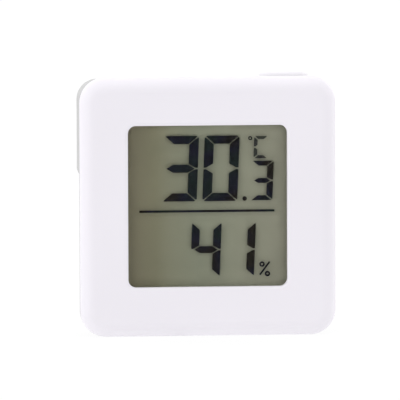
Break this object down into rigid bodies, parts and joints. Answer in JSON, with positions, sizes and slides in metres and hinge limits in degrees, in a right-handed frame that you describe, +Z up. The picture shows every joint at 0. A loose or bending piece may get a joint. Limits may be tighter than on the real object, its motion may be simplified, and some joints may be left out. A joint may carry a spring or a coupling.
{
  "type": "temperature humidity sensor",
  "caption": "Rounded square desk or wall thermo-hygrometer with a liquid crystal display, a top button, a fold-out stand and a twist-lock battery door.",
  "frame": {"origin": "under the middle of the case, on the table plane", "axes": "+Z up, the display faces -Y, +X to the right as the display is read"},
  "size_m": [0.045, 0.012, 0.0463],
  "materials": {
    "case_plastic": "fine matt moulded ABS, cool white",
    "rear_plastic": "fine matt moulded ABS, pale grey",
    "button_plastic": "fine matt moulded ABS, cool white",
    "display_film": "smooth clear polarising film",
    "display_glass": "polished clear glass",
    "lit_segment": "dark liquid crystal",
    "seal_resin": "cured epoxy",
    "reflector_film": "grey-olive reflecting film with a fine grain",
    "foam": "black foam",
    "zebra_rubber": "striped silicone",
    "board_laminate": "green solder mask on glass laminate",
    "black_resin": "cured black resin",
    "can_steel": "drawn bright can",
    "chip_ceramic": "fired brown ceramic",
    "chip_glaze": "black glaze",
    "sensor_ceramic": "white alumina with printed comb",
    "bead_epoxy": "dipped black epoxy",
    "switch_plastic": "moulded black nylon",
    "plunger_plastic": "moulded ivory nylon",
    "cell_steel": "fine brushed nickel-plated steel",
    "spring_steel": "nickel-plated spring strip",
    "screw_steel": "zinc-plated steel"
  },
  "bodies": {
    "case": {"front_case": "case_plastic", "rear_case": "rear_plastic", "lcd_gasket": "foam", "lcd_front_polariser": "display_film", "lcd_front_glass": "display_glass", "lcd_edge_seal": "seal_resin", "lcd_temperature_digits": "lit_segment", "lcd_humidity_digits": "lit_segment", "lcd_divider_bar": "lit_segment", "lcd_rear_glass": "display_glass", "lcd_reflector": "reflector_film", "lcd_cushion": "foam", "zebra_connector": "zebra_rubber", "main_board": "board_laminate", "controller_glob": "black_resin", "timing_crystal": "can_steel", "chip_capacitors": "chip_ceramic", "chip_resistors": "chip_glaze", "humidity_sensor": "sensor_ceramic", "thermistor": "bead_epoxy", "switch_body": "switch_plastic", "coin_cell": "cell_steel", "negative_contact": "spring_steel", "positive_contact": "spring_steel", "case_screws": "screw_steel", "board_screws": "screw_steel"},
    "button": {"button_cap": "button_plastic", "switch_plunger": "plunger_plastic"},
    "door": {"battery_door": "rear_plastic"},
    "stand": {"stand": "rear_plastic"}
  },
  "joints": [
    {"name": "button_press", "type": "slide", "parent": "case", "child": "button", "axis": [0, 0, -1], "range_m": [0, 0.00035], "stiffness_N_per_m": 1500},
    {"name": "door_twist", "type": "hinge", "parent": "case", "child": "door", "pos_m": [0, 0.0053, 0.02], "axis": [0, 1, 0], "range_deg": [0, 45]},
    {"name": "stand_hinge", "type": "hinge", "parent": "case", "child": "stand", "pos_m": [0, 0.0048, 0.02355], "axis": [1, 0, 0], "range_deg": [0, 45]}
  ]
}
